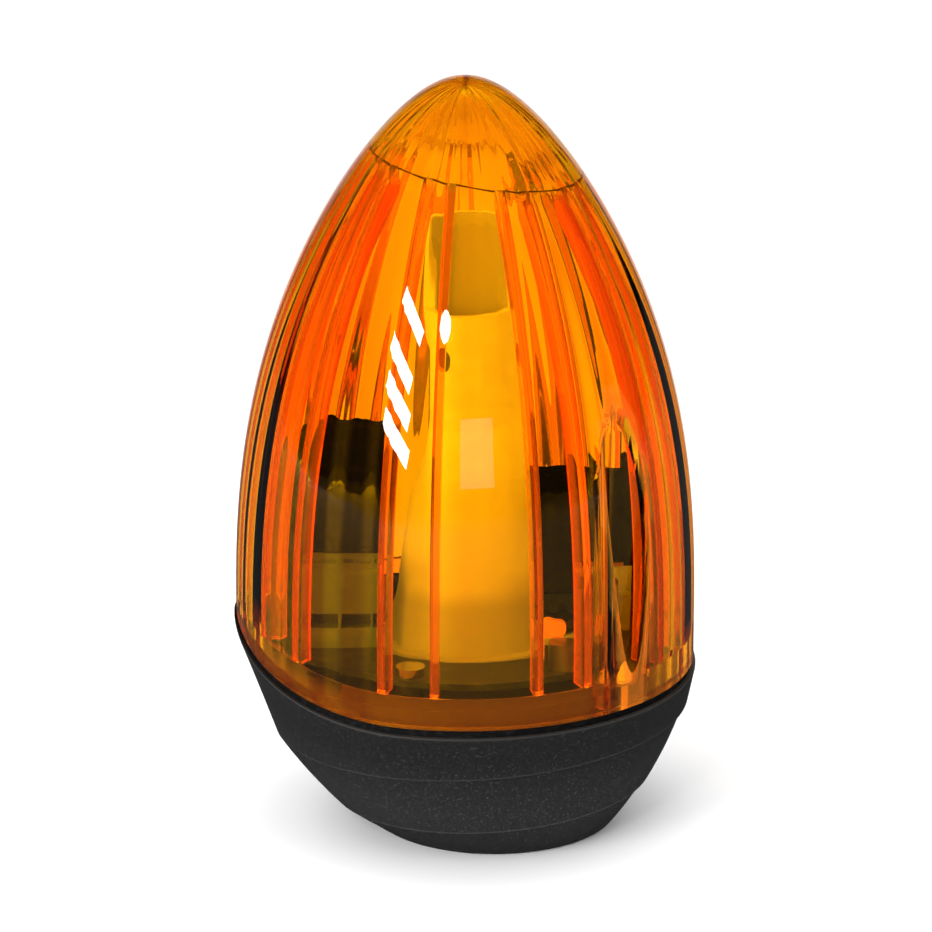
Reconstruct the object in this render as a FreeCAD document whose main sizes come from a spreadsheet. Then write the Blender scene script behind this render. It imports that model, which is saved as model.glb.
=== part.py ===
"""Flashing warning light: egg-shaped amber lens on a black bowl base.

Millimetres, +Z up. The origin is on the lens axis, at the level of the foot's
underside. +X is the side to which the bowl leans; the lens lip sweeps up at -X.
"""
import FreeCAD, Part
import Sketcher
import math
import os
import re

Vector = FreeCAD.Vector
doc = FreeCAD.newDocument("FlashingLight")
sheet = doc.addObject("Spreadsheet::Sheet", "Sizes")

SIZES = {
    # Lens outline: straight skirt up to the belly, then an egg curve to the top
    "lens_radius": 55.4,
    "lens_belly": 54.0,
    "lens_top": 184.6,
    "egg_fullness": 2.42,
    "egg_taper": 0.528,
    "lens_wall": 2.6,
    "ring_depth": 3.0,
    "rib_depth": 5.0,
    "rib_thickness": 1.8,
    "rib_pairs": 9,
    "rib_pair_angle": 13.6,
    "rib_start_angle": 255.5,
    "cap_depth": 20.9,
    "cap_step": 1.5,
    "cap_slope": -0.148,
    "gate_radius": 1.3,
    "gate_height": 0.4,
    "ring_height": 6.8,
    # Parting line between lens and housing: level, then a quarter ellipse up at -X
    "rim_level": 39.5,
    "sweep_start": -15.0,
    "sweep_overreach": 1.0,
    "sweep_rise": 15.5,
    "seal_thickness": 1.6,
    "seal_inset": 0.6,
    "seal_width": 4.3,
    "lift_gap": 0.3,
    # Lens screws in their leaning wells
    "screw_inset": 5.2,
    "screw_angle": -44.5,
    "well_radius": 4.8,
    "well_wall": 2.0,
    "well_lean": 5.5,
    "well_draft": 2.5,
    "well_floor_height": 7.5,
    "lens_screw_head": 3.1,
    "lens_screw_flange": 0.8,
    "lens_screw_dome": 2.6,
    "lens_screw_shank": 1.5,
    "lens_screw_length": 12.0,
    "running_fit": 0.08,
    "passing_gap": 0.35,
    "insert_wall": 0.6,
    "insert_length": 6.0,
    # Housing: conical ring under the lens with a deck
    "lip_overhang": 0.5,
    "lip_margin": 3.0,
    "joint_level": 26.7,
    "joint_slope": 0.066,
    "housing_taper": 5.6,
    "housing_foot_x": 3.93,
    "housing_wall": 2.6,
    "deck_height": 4.9,
    "deck_thickness": 2.5,
    "deck_inset": 6.4,
    "cavity_inset": 9.5,
    "edge_round": 0.6,
    "wire_hole_radius": 6.0,
    "wire_hole_inset": 18.0,
    "wire_hole_y": -21.0,
    # Bowl under the housing
    "joint_step": 0.45,
    "bowl_foot_radius": 38.8,
    "bowl_foot_x": 6.43,
    "bowl_bulge": 0.56,
    "bowl_wall": 2.4,
    "bowl_floor_thickness": 4.6,
    "bowl_joint_level": 8.7,
    "bowl_joint_slope": 0.067,
    "spigot_inset": 3.65,
    "spigot_x": 2.7,
    "spigot_wall": 2.0,
    "spigot_height": 5.9,
    "spigot_depth": 5.1,
    "post_radius": 4.0,
    "post_gap": 5.1,
    "post_x": 4.0,
    "cable_hole_radius": 10.0,
    # Foot under the bowl
    "foot_step": 0.4,
    "foot_taper": 8.9,
    "foot_x": 7.0,
    "foot_bulge": 0.25,
    "foot_wall": 3.0,
    "foot_floor": 3.2,
    "foot_round": 1.0,
    "foot_boss_radius": 4.5,
    "foot_boss_inset": 8.2,
    "fixing_hole_radius": 2.6,
    "fixing_inset": 9.5,
    "grommet_bore": 4.5,
    "grommet_neck": 7.0,
    "grommet_flange": 9.5,
    "grommet_lip": 1.6,
    # Self-tapping screws inside
    "tap_head_radius": 3.2,
    "tap_head_height": 2.2,
    "tap_radius": 1.5,
    "tap_length": 10.0,
    "tap_fit": 0.2,
    # Light tower, its board and light-emitting diodes
    "tower_flange_radius": 21.0,
    "tower_flange_thickness": 2.0,
    "tower_flange_width": 2.5,
    "tower_neck_radius": 9.6,
    "tower_neck_level": 100.0,
    "tower_tip_radius": 9.2,
    "tower_top": 149.0,
    "tower_notch": 128.0,
    "tower_wall": 1.8,
    "tower_hole_radius": 3.0,
    "tower_hole_level": 117.0,
    "tower_hole_turn": 30.0,
    "tower_ear_reach": 1.4,
    "tower_ear_radius": 4.2,
    "led_board_width": 12.0,
    "led_board_thickness": 1.6,
    "led_board_top": 110.0,
    "led_size": 3.5,
    "led_height": 1.4,
    "led_pitch": 11.0,
    "led_first_level": 58.0,
    "led_rows": 5,
    # Control board around the tower and what it carries
    "board_gap": 2.5,
    "board_thickness": 1.6,
    "board_inset": 7.0,
    "board_clearance": 0.9,
    "board_back": 21.5,
    "board_screw_inset": 4.0,
    "standoff_radius": 3.0,
    "terminal_inset": 2.0,
    "terminal_y": -17.0,
    "terminal_pitch": 5.0,
    "terminal_poles": 4,
    "terminal_depth": 11.0,
    "terminal_height": 20.0,
    "terminal_entry": 3.6,
    "terminal_entry_depth": 6.0,
    "terminal_screw_radius": 1.7,
    "terminal_screw_sink": 1.0,
    "terminal_screw_length": 6.0,
    "capacitor_radius": 5.0,
    "capacitor_height": 17.0,
    "capacitor_inset": 6.2,
    "small_capacitor_radius": 3.0,
    "small_capacitor_height": 6.5,
    "small_capacitor_inset": 3.1,
    "film_capacitor_length": 12.0,
    "film_capacitor_width": 6.0,
    "film_capacitor_height": 12.0,
    "film_capacitor_inset": 16.0,
    "film_capacitor_y": 5.0,
    "disc_radius": 2.4,
    "disc_thickness": 1.8,
    "disc_inset": 9.5,
    "disc_leg": 5.5,
    "disc_leg_radius": 0.35,
    "disc_leg_spread": 1.4,
    "regulator_width": 10.0,
    "regulator_thickness": 4.5,
    "regulator_height": 9.0,
    "regulator_tab": 6.0,
    "regulator_tab_thickness": 1.3,
    "regulator_y": -5.0,
    "regulator_inset": 11.0,
    # Black partition behind the tower
    "partition_y": 23.5,
    "partition_thickness": 2.4,
    "partition_inset": 13.0,
    "partition_left_top": 92.0,
    "partition_right_top": 80.0,
    "partition_gap_left": 20.0,
    "partition_gap_right": 15.0,
    "partition_bar": 8.0,
    "partition_tab_x": 16.0,
    "partition_tab_width": 12.0,
    "partition_tab_depth": 11.0,
}
# Sizes that follow others, so that pieces that meet keep together
FOLLOWING = {
    "cap_level": "lens_top - cap_depth",
    "sweep_reach": "lens_radius + sweep_overreach",
    "screw_circle": "lens_radius - screw_inset",
    "well_floor": "rim_level + well_floor_height",
    "lip_radius": "lens_radius + lip_overhang",
    "lip_top": "rim_level + sweep_rise + lip_margin",
    "housing_foot_radius": "lip_radius - housing_taper",
    "deck_level": "rim_level + deck_height",
    "deck_radius": "lens_radius - deck_inset",
    "cavity_radius": "lip_radius - cavity_inset",
    "wire_hole_x": "wire_hole_inset - deck_radius",
    "bowl_top_radius": "housing_foot_radius - joint_step",
    "bowl_top_x": "housing_foot_x - joint_step",
    "bowl_floor": "bowl_joint_level + bowl_floor_thickness",
    "spigot_radius": "bowl_top_radius - spigot_inset",
    "spigot_top": "joint_level + spigot_height",
    "spigot_root": "joint_level - spigot_depth",
    "post_circle": "partition_y + partition_thickness + post_gap",
    "foot_top_radius": "bowl_foot_radius - foot_step",
    "foot_top_x": "bowl_foot_x - foot_step",
    "foot_radius": "foot_top_radius - foot_taper",
    "foot_boss_circle": "foot_radius - foot_boss_inset",
    "fixing_circle": "foot_radius - fixing_inset",
    "tower_foot_radius": "tower_flange_radius - tower_flange_width",
    "tower_screw_circle": "tower_flange_radius + tower_ear_reach",
    "board_hole_radius": "tower_screw_circle + tower_ear_radius + board_clearance",
    "board_radius": "deck_radius - board_inset",
    "board_screw_circle": "board_radius - board_screw_inset",
    "terminal_x": "terminal_inset - board_radius",
    "capacitor_circle": "board_radius - capacitor_inset",
    "small_capacitor_circle": "board_radius - small_capacitor_inset",
    "film_capacitor_x": "board_radius - film_capacitor_inset",
    "disc_circle": "board_radius - disc_inset",
    "regulator_x": "board_radius - regulator_inset",
    "partition_half_width": "deck_radius - partition_inset",
}
follow_sheet = doc.addObject("Spreadsheet::Sheet", "Follow")
SHEET_OF = {alias: "Sizes" for alias in SIZES}
SHEET_OF.update({alias: "Follow" for alias in FOLLOWING})
WORDS = re.compile(r"\b(" + "|".join(sorted(SHEET_OF, key=len, reverse=True)) + r")\b")


def spelled(formula):
    """A formula whose bare words are given the name of their sheet."""
    return WORDS.sub(lambda word: f"<<{SHEET_OF[word[0]]}>>.{word[0]}", formula)


for row, (alias, value) in enumerate(SIZES.items(), 1):
    sheet.set(f"A{row}", alias)
    sheet.set(f"B{row}", str(value))
    sheet.setAlias(f"B{row}", alias)
for row, alias in enumerate(FOLLOWING, 1):
    follow_sheet.set(f"A{row}", alias)
    follow_sheet.setAlias(f"B{row}", alias)
doc.recompute()
for row, formula in enumerate(FOLLOWING.values(), 1):
    own = spelled(formula).replace("<<Follow>>.", "")
    follow_sheet.set(f"B{row}", "=" + own)
doc.recompute()


def size(alias):
    """A dimension, read back from its sheet."""
    return float(doc.getObject(SHEET_OF[alias]).get(alias))


def bind(target, path, formula):
    """Bind a property to a formula whose bare words are the sheets' aliases."""
    target.setExpression(path, spelled(formula))


def place(target, x="0", y="0", z="0"):
    """Bind where an object stands."""
    for axis, formula in zip("xyz", (x, y, z)):
        bind(target, f"Placement.Base.{axis}", formula)


def cylinder(name, radius, height, x="0", y="0", z="0"):
    """An upright cylinder bound to the sheet."""
    made = doc.addObject("Part::Cylinder", name)
    bind(made, "Radius", radius)
    bind(made, "Height", height)
    place(made, x, y, z)
    return made


def box(name, length, width, height, x="0", y="0", z="0"):
    """A box bound to the sheet, placed by its lowest corner."""
    made = doc.addObject("Part::Box", name)
    bind(made, "Length", length)
    bind(made, "Width", width)
    bind(made, "Height", height)
    place(made, x, y, z)
    return made


def joined(kind, name, members):
    """A fuse or a compound of several objects."""
    made = doc.addObject(kind, name)
    if kind == "Part::Compound":
        made.Links = members
    else:
        made.Shapes = members
    return made


def cut(name, base, tool):
    """A base with a tool taken away."""
    made = doc.addObject("Part::Cut", name)
    made.Base = base
    made.Tool = tool
    return made


def formed(name, shape):
    """A piece whose form comes from curves worked out below."""
    made = doc.addObject("Part::Feature", name)
    made.Shape = shape
    made.Placement = FreeCAD.Placement()
    return made


def origin_plane(body, role):
    """One of a body's own origin planes."""
    return next(part for part in body.Origin.OriginFeatures if part.Role == role)


def outline(body, name, role, corners):
    """A closed sketch of straight lines whose corners are pairs of formulas."""
    sketch = body.newObject("Sketcher::SketchObject", name)
    sketch.AttachmentSupport = (origin_plane(body, role), [""])
    sketch.MapMode = "FlatFace"
    count = len(corners)
    for number in range(count):
        start = Vector(number, number * number, 0)
        end = Vector(number + 1, (number + 1) ** 2, 0)
        sketch.addGeometry(Part.LineSegment(start, end))
    for number in range(count):
        following = (number + 1) % count
        sketch.addConstraint(Sketcher.Constraint("Coincident", number, 2, following, 1))
    for number, corner in enumerate(corners):
        for kind, formula in zip(("DistanceX", "DistanceY"), corner):
            index = sketch.addConstraint(Sketcher.Constraint(kind, -1, 1, number, 1, 1.0))
            bind(sketch, f"Constraints[{index}]", formula)
    return sketch


def turned(name, corners):
    """A body turned about its Z axis from a half outline of (radius, level) formulas."""
    body = doc.addObject("PartDesign::Body", name)
    sketch = outline(body, name + "_outline", "XZ_Plane", corners)
    turn = body.newObject("PartDesign::Revolution", name + "_turn")
    turn.Profile = sketch
    turn.ReferenceAxis = (sketch, ["V_Axis"])
    turn.Angle = 360
    return body


def at_angle(circle, degrees, centre="0"):
    """Formulas for a place on a circle about (centre, 0)."""
    turn = math.radians(degrees)
    return f"{centre} + ({circle}) * {math.cos(turn):.6f}", f"({circle}) * {math.sin(turn):.6f}"


def tap_screw(name, x, y, seat):
    """A self-tapping screw: flat head on its seat, shank downwards."""
    head = cylinder(name + "_head", "tap_head_radius", "tap_head_height", x, y, seat)
    shank = cylinder(name + "_shank", "tap_radius", "tap_length", x, y, f"{seat} - tap_length")
    return joined("Part::MultiFuse", name, [head, shank])


# Curves that several pieces share

def egg_profile(radius, top, bottom):
    """Half outline of the egg: r^2 = radius^2 (1 - t^fullness)(1 - taper t^fullness)."""
    belly = size("lens_belly")
    points = []
    steps = 14
    for step in range(steps + 1):
        t = math.sin(0.5 * math.pi * step / steps)
        power = t ** size("egg_fullness")
        r = radius * math.sqrt(max((1 - power) * (1 - size("egg_taper") * power), 0))
        points.append(Vector(r, 0, belly + t * (top - belly)))
    curve = Part.BSplineCurve()
    curve.interpolate(Points=points, InitialTangent=Vector(0, 0, 1), FinalTangent=Vector(-1, 0, 0))
    foot, axis_foot = Vector(radius, 0, bottom), Vector(0, 0, bottom)
    edges = [curve.toShape(), Part.makeLine(points[-1], axis_foot),
             Part.makeLine(axis_foot, foot), Part.makeLine(foot, points[0])]
    return Part.Face(Part.Wire(Part.__sortEdges__(edges)))


def egg(radius, top, bottom):
    """The egg as a solid of revolution."""
    return egg_profile(radius, top, bottom).revolve(Vector(), Vector(0, 0, 1), 360)


def above_parting(shift):
    """Everything above the parting line raised by a shift, as one long block along Y."""
    far = 2 * size("lens_radius")
    level = size("rim_level") + shift
    start, reach, rise = size("sweep_start"), -size("sweep_reach"), size("sweep_rise")
    crest = level + rise
    ellipse = Part.Ellipse(Vector(reach, -far, crest), Vector(start, -far, level),
                           Vector(start, -far, crest))
    sweep = Part.ArcOfEllipse(ellipse, 0, math.pi / 2).toShape()
    ceiling = size("lens_top") + far
    corners = [Vector(start, -far, level), Vector(far, -far, level), Vector(far, -far, ceiling),
               Vector(-far, -far, ceiling), Vector(-far, -far, crest), Vector(reach, -far, crest)]
    edges = [sweep] + [Part.makeLine(a, b) for a, b in zip(corners, corners[1:])]
    face = Part.Face(Part.Wire(Part.__sortEdges__(edges)))
    return face.extrude(Vector(0, 2 * far, 0))


def disc_wire(x, level, slope, radius):
    """A circle in a plane that rises with X; the level is the plane's at X = 0."""
    normal = Vector(-slope, 0, 1)
    return Part.Wire(Part.Circle(Vector(x, 0, level + slope * x), normal, radius).toShape())


def tier(*wires):
    """A conical tier through closed outlines."""
    return Part.makeLoft(list(wires), True, True)


def blend(first, second, share):
    """A value that lies a share of the way from a first to a second one."""
    return first + (second - first) * share


def rounded_tier(low, high, bulge):
    """A tier between two discs (x, level, slope, radius), swollen half way by a bulge."""
    middle = [blend(first, second, 0.5) for first, second in zip(low, high)]
    middle[-1] += bulge
    return Part.makeLoft([disc_wire(*disc) for disc in (low, middle, high)], True, False)


def parting_level(x):
    """Level of the parting line over a place."""
    along = (size("sweep_start") - x) / (size("sweep_start") + size("sweep_reach"))
    along = min(max(along, 0.0), 1.0)
    return size("rim_level") + size("sweep_rise") * (1 - math.sqrt(1 - along * along))


def lip_wire(drop):
    """The outline of the lip, swept with the parting line, a drop below it."""
    count = 72
    points = []
    for step in range(count):
        x, y = ring_place(size("lip_radius"), 360.0 * step / count)
        points.append(Vector(x, y, parting_level(x) - drop))
    curve = Part.BSplineCurve()
    curve.interpolate(Points=points, PeriodicFlag=True)
    return Part.Wire(curve.toShape())


def lower_edge_rounded(shell, radius):
    """A tier with its lowest edge rounded."""
    lowest = min(shell.Edges, key=lambda edge: edge.CenterOfMass.z)
    return shell.makeFillet(radius, [lowest])


def upright(x, y, bottom, top, radius):
    """A plain upright cylinder between two levels."""
    return Part.makeCylinder(radius, top - bottom, Vector(x, y, bottom))


def ring_place(circle, degrees, centre=0.0):
    """A place on a circle about (centre, 0)."""
    turn = math.radians(degrees)
    return centre + circle * math.cos(turn), circle * math.sin(turn)


lens_edge_shift = size("seal_thickness") + size("lift_gap")
lens_screw_angles = (size("screw_angle"), size("screw_angle") + 180)
lens_screw_places = [ring_place(size("screw_circle"), angle) for angle in lens_screw_angles]
post_angles = (90, 210, 330)
boss_angles = (30, 150, 270)
board_screw_angles = (25, 165, 250)
capacitor_angle, small_capacitor_angle = -30, -53
disc_angles = (-50, -19)


# Lens: thick amber egg with pockets between inner ribs, below an oblique smooth cap

def leaning_cone(angle, radius):
    """A drafted cone round a lens screw, leaning outwards, with its small end on the well floor."""
    lean = math.radians(size("well_lean"))
    turn = math.radians(angle)
    outward = Vector(math.cos(turn), math.sin(turn), 0)
    axis = outward * math.sin(lean) + Vector(0, 0, math.cos(lean))
    x, y = ring_place(size("screw_circle"), angle)
    length = size("lens_top") - size("well_floor")
    mouth = radius + length * math.tan(math.radians(size("well_draft")))
    return Part.makeCone(radius, mouth, length, Vector(x, y, size("well_floor")), axis)


def make_lens():
    """The lens as one solid."""
    wall = size("lens_wall")
    bottom = size("rim_level")
    body = egg(size("lens_radius"), size("lens_top"), bottom).common(above_parting(lens_edge_shift))
    far = 2 * size("lens_radius")
    below_cap = Part.makeBox(2 * far, 2 * far, 2 * far, Vector(-far, -far, -2 * far))
    cap_tilt = -math.degrees(math.atan(size("cap_slope")))
    below_cap.Placement = FreeCAD.Placement(
        Vector(0, 0, size("cap_level")), FreeCAD.Rotation(Vector(0, 1, 0), cap_tilt))
    above_ring = above_parting(lens_edge_shift + size("ring_height"))
    panels = egg(size("lens_radius") - wall, size("lens_top") - wall, bottom)
    panels = panels.common(above_ring).common(below_cap)
    ribs = []
    pairs = int(size("rib_pairs"))
    for pair in range(pairs):
        middle = size("rib_start_angle") + 360.0 * pair / pairs
        for side in (-0.5, 0.5):
            thickness = size("rib_thickness")
            rib = Part.makeBox(far, thickness, size("lens_top") - bottom,
                               Vector(0, -thickness / 2, bottom))
            rib.rotate(Vector(), Vector(0, 0, 1), middle + side * size("rib_pair_angle"))
            ribs.append(rib)
    ring_core, cap_core, core = [
        egg(size("lens_radius") - wall - depth, size("lens_top") - wall - depth, bottom - 1)
        for depth in (size("ring_depth"), size("cap_step"), size("rib_depth"))]
    core = core.fuse([ring_core.cut(above_ring), cap_core.cut(below_cap)])
    boss = size("well_radius") + size("well_wall")
    bosses = [leaning_cone(angle, boss) for angle in lens_screw_angles]
    bosses += [upright(x, y, bottom - 1, size("well_floor"), boss) for x, y in lens_screw_places]
    body = body.cut(core.fuse(panels.cut(ribs)).cut(bosses))
    wells = [leaning_cone(angle, size("well_radius")) for angle in lens_screw_angles]
    head_top = size("well_floor") + size("lens_screw_flange") + size("lens_screw_dome")
    seat = size("lens_screw_head") + size("lens_screw_flange") + size("lift_gap")
    wells += [upright(x, y, size("well_floor"), head_top, seat) for x, y in lens_screw_places]
    bore = size("lens_screw_shank") + size("running_fit")
    bores = [upright(x, y, bottom - 1, size("well_floor") + 1, bore) for x, y in lens_screw_places]
    gate = upright(0, 0, size("lens_top") - wall / 2, size("lens_top") + size("gate_height"),
                   size("gate_radius"))
    for tool in wells + bores:
        body = body.cut(tool)
    return body.fuse(gate).removeSplitter()


lens = formed("lens", make_lens())


# Lens screws: domed head with a flange, standing in the wells of the lens

def make_lens_screw(name, place_xy):
    """One screw, turned about its own axis; its head stands just clear of the well floor."""
    dome = [(f"lens_screw_head * {math.cos(math.radians(turn)):.4f}",
             f"lens_screw_flange + lens_screw_dome * {math.sin(math.radians(turn)):.4f}")
            for turn in (22.5, 45.0, 67.5)]
    dome.append(("0", "lens_screw_flange + lens_screw_dome"))
    corners = [("0", "0 - lens_screw_length"), ("lens_screw_shank", "0 - lens_screw_length"),
               ("lens_screw_shank", "0"), ("lens_screw_head + lens_screw_flange", "0"),
               ("lens_screw_head + lens_screw_flange", "lens_screw_flange"),
               ("lens_screw_head", "lens_screw_flange")] + dome
    body = turned(name, corners)
    x, y = place_xy
    place(body, x, y, "well_floor + running_fit")
    return body


lens_screws = [make_lens_screw(name, at_angle("screw_circle", angle))
               for name, angle in zip(("lens_screw_front", "lens_screw_rear"), lens_screw_angles)]


# Seal between lens and housing, following the parting line

def make_seal():
    """A flat rubber ring bent along the parting line, with a notch at each lens screw."""
    outer = size("lens_radius") - size("seal_inset")
    inner = outer - size("seal_width")
    low, high = size("rim_level") - 1, size("lens_top")
    ring = upright(0, 0, low, high, outer).cut(upright(0, 0, low, high, inner))
    ring = ring.common(above_parting(0)).cut(above_parting(size("seal_thickness")))
    clear = size("lens_screw_shank") + size("passing_gap")
    return ring.cut([upright(x, y, low, high, clear) for x, y in lens_screw_places])


lens_seal = formed("lens_seal", make_seal())


# Housing: conical ring with the swept lip, the deck, standoffs and the screw seats

insert_radius = size("lens_screw_shank") + size("passing_gap") + size("insert_wall")


def make_housing():
    """The housing as one solid."""
    foot = disc_wire(size("housing_foot_x"), size("joint_level"), size("joint_slope"),
                     size("housing_foot_radius"))
    crown = disc_wire(0, size("lip_top"), 0, size("lip_radius"))
    shell = tier(foot, lip_wire(size("edge_round")), crown)
    shell = lower_edge_rounded(shell, size("edge_round")).cut(above_parting(0))
    deck, thickness = size("deck_level"), size("deck_thickness")
    shell = shell.fuse(upright(0, 0, deck - 2 * thickness, deck, size("deck_radius")))
    shell = shell.cut(upright(0, 0, deck, size("lens_top"), size("deck_radius") + size("lift_gap")))
    mouth = disc_wire(size("housing_foot_x"), size("joint_level") - size("edge_round"),
                      size("joint_slope"), size("housing_foot_radius") - size("housing_wall"))
    ceiling = disc_wire(0, deck - thickness, 0, size("cavity_radius"))
    shell = shell.cut(tier(mouth, ceiling))
    standoffs = [upright(*ring_place(size("board_screw_circle"), angle), deck - thickness,
                         deck + size("board_gap"), size("standoff_radius"))
                 for angle in board_screw_angles]
    shell = shell.fuse(standoffs)
    clear = size("well_radius") + size("well_wall") + 2 * size("lift_gap")
    above_seal = above_parting(size("seal_thickness"))
    screw_end = size("well_floor") - size("lens_screw_length") - size("passing_gap")
    for x, y in lens_screw_places:
        seat = parting_level(x)
        notch = upright(x, y, size("rim_level"), deck + thickness, clear).common(above_seal)
        sleeve = upright(x, y, seat - size("insert_length"), deck + thickness, insert_radius)
        passage = upright(x, y, screw_end, seat, size("lens_screw_shank") + size("passing_gap"))
        shell = shell.cut([notch, sleeve, passage])
    tap = size("tap_radius")
    holes = [upright(*ring_place(size("board_screw_circle"), angle), deck - thickness,
                     deck + 2 * size("board_gap"), tap) for angle in board_screw_angles]
    holes += [upright(*ring_place(size("post_circle"), angle, size("post_x")), deck - 2 * thickness,
                      deck + thickness, tap + size("tap_fit")) for angle in post_angles]
    holes += [upright(sign * size("tower_screw_circle"), 0, deck - 2 * thickness, deck + thickness,
                      tap) for sign in (-1, 1)]
    tab_y = size("partition_y") + size("partition_thickness") + size("partition_tab_depth") / 2
    holes += [upright(sign * size("partition_tab_x"), tab_y, deck - 2 * thickness, deck + thickness,
                      tap) for sign in (-1, 1)]
    holes.append(upright(size("wire_hole_x"), size("wire_hole_y"), deck - 2 * thickness,
                         deck + thickness, size("wire_hole_radius")))
    return shell.cut(holes).removeSplitter()


housing = formed("housing", make_housing())


def make_inserts():
    """Two brass tubes pressed into the housing under the lens screws."""
    tubes = []
    for x, y in lens_screw_places:
        top = parting_level(x)
        bottom = top - size("insert_length")
        bore = size("lens_screw_shank") + size("passing_gap")
        tube = upright(x, y, bottom, top, insert_radius).cut(upright(x, y, bottom, top, bore))
        tubes.append(tube.cut(above_parting(0)))
    return Part.makeCompound(tubes)


screw_inserts = formed("screw_inserts", make_inserts())


# Bowl: lower shell with a spigot into the housing and posts up to the deck

def make_bowl():
    """The bowl as one solid."""
    top = (size("bowl_top_x"), size("joint_level"), size("joint_slope"), size("bowl_top_radius"))
    foot = (size("bowl_foot_x"), size("bowl_joint_level"), size("bowl_joint_slope"),
            size("bowl_foot_radius"))
    shell = rounded_tier(foot, top, size("bowl_bulge"))
    shell = lower_edge_rounded(shell, size("edge_round"))
    wall, floor = size("bowl_wall"), size("bowl_floor")
    share = (size("joint_level") - floor) / (size("joint_level") - size("bowl_joint_level"))
    inner_x = blend(size("bowl_top_x"), size("bowl_foot_x"), share)
    inner_radius = blend(size("bowl_top_radius"), size("bowl_foot_radius"), share) - wall
    mouth = disc_wire(size("bowl_top_x"), size("joint_level") + wall, size("joint_slope"),
                      size("bowl_top_radius") - wall / 2)
    shell = shell.cut(tier(disc_wire(inner_x, floor, 0, inner_radius), mouth))
    spigot = upright(size("spigot_x"), 0, size("spigot_root"), size("spigot_top"),
                     size("spigot_radius"))
    spigot = spigot.cut(upright(size("spigot_x"), 0, 0, size("spigot_top") + wall,
                                size("spigot_radius") - size("spigot_wall")))
    solid_top = disc_wire(size("bowl_top_x"), size("joint_level"), size("joint_slope"),
                          size("bowl_top_radius") - wall / 2)
    room = tier(disc_wire(inner_x, floor, 0, inner_radius + wall / 2), solid_top)
    above = Part.makeBox(2 * size("lens_radius"), 2 * size("lens_radius"), size("lens_radius"),
                         Vector(-size("lens_radius"), -size("lens_radius"), size("joint_level")))
    spigot = spigot.common(room.fuse(above))
    shell = shell.fuse(spigot)
    posts, bores = [], []
    underside = size("deck_level") - size("deck_thickness")
    for angle in post_angles:
        x, y = ring_place(size("post_circle"), angle, size("post_x"))
        posts.append(upright(x, y, floor - 1, underside, size("post_radius")))
        bores.append(upright(x, y, size("deck_level") - size("tap_length"), underside + 1,
                             size("tap_radius")))
    shell = shell.fuse(posts)
    for angle in boss_angles:
        x, y = ring_place(size("foot_boss_circle"), angle, size("foot_x"))
        bores.append(upright(x, y, 0, floor + 1, size("tap_radius") + size("tap_fit")))
    bores.append(upright(size("foot_x"), 0, 0, floor + 1, size("cable_hole_radius")))
    return shell.cut(bores).removeSplitter()


bowl = formed("bowl", make_bowl())


# Foot: dished plate that the bowl is screwed to, fixed to a pillar through three holes

def make_foot():
    """The foot as one solid."""
    top = (size("foot_top_x"), size("bowl_joint_level"), size("bowl_joint_slope"),
           size("foot_top_radius"))
    shell = rounded_tier((size("foot_x"), 0, 0, size("foot_radius")), top, size("foot_bulge"))
    shell = lower_edge_rounded(shell, size("foot_round"))
    plane = disc_wire(size("foot_x"), size("bowl_joint_level"), size("bowl_joint_slope"),
                      size("lens_radius"))
    under = tier(disc_wire(size("foot_x"), 0, 0, size("lens_radius")), plane)
    wall, floor = size("foot_wall"), size("foot_floor")
    mouth = disc_wire(size("foot_top_x"), size("bowl_joint_level") + wall,
                      size("bowl_joint_slope"), size("foot_top_radius") - wall)
    shell = shell.cut(tier(disc_wire(size("foot_x"), floor, 0, size("foot_radius") - wall), mouth))
    bosses, bores = [], []
    for angle in boss_angles:
        x, y = ring_place(size("foot_boss_circle"), angle, size("foot_x"))
        bosses.append(upright(x, y, floor / 2, size("lens_radius"), size("foot_boss_radius")))
        bores.append(upright(x, y, size("bowl_floor") - size("tap_length"), size("bowl_floor"),
                             size("tap_radius")))
    shell = shell.fuse([boss.common(under) for boss in bosses])
    for angle in post_angles:
        x, y = ring_place(size("fixing_circle"), angle, size("foot_x"))
        bores.append(upright(x, y, -1, floor + 1, size("fixing_hole_radius")))
    bores.append(upright(size("foot_x"), 0, -1, floor + 1, size("grommet_neck")))
    return shell.cut(bores).removeSplitter()


foot = formed("foot", make_foot())


# Cable grommet: rubber ring snapped into the hole of the foot

grommet = turned("cable_grommet", [
    ("grommet_bore", "0"), ("grommet_neck", "0"),
    ("grommet_neck", "foot_floor"), ("grommet_flange", "foot_floor"),
    ("grommet_flange", "foot_floor + grommet_lip"), ("grommet_bore", "foot_floor + grommet_lip")])
place(grommet, "foot_x")


# Screws that hold bowl to foot and housing to bowl

bowl_screws = joined("Part::Compound", "bowl_screws", [
    tap_screw(f"bowl_screw_{number}", *at_angle("foot_boss_circle", angle, "foot_x"), "bowl_floor")
    for number, angle in enumerate(boss_angles, 1)])
deck_screws = joined("Part::Compound", "deck_screws", [
    tap_screw(f"deck_screw_{number}", *at_angle("post_circle", angle, "post_x"), "deck_level")
    for number, angle in enumerate(post_angles, 1)])


# Light tower: frosted cone on a flange, open at its top with the front cut lower, screwed down

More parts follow.
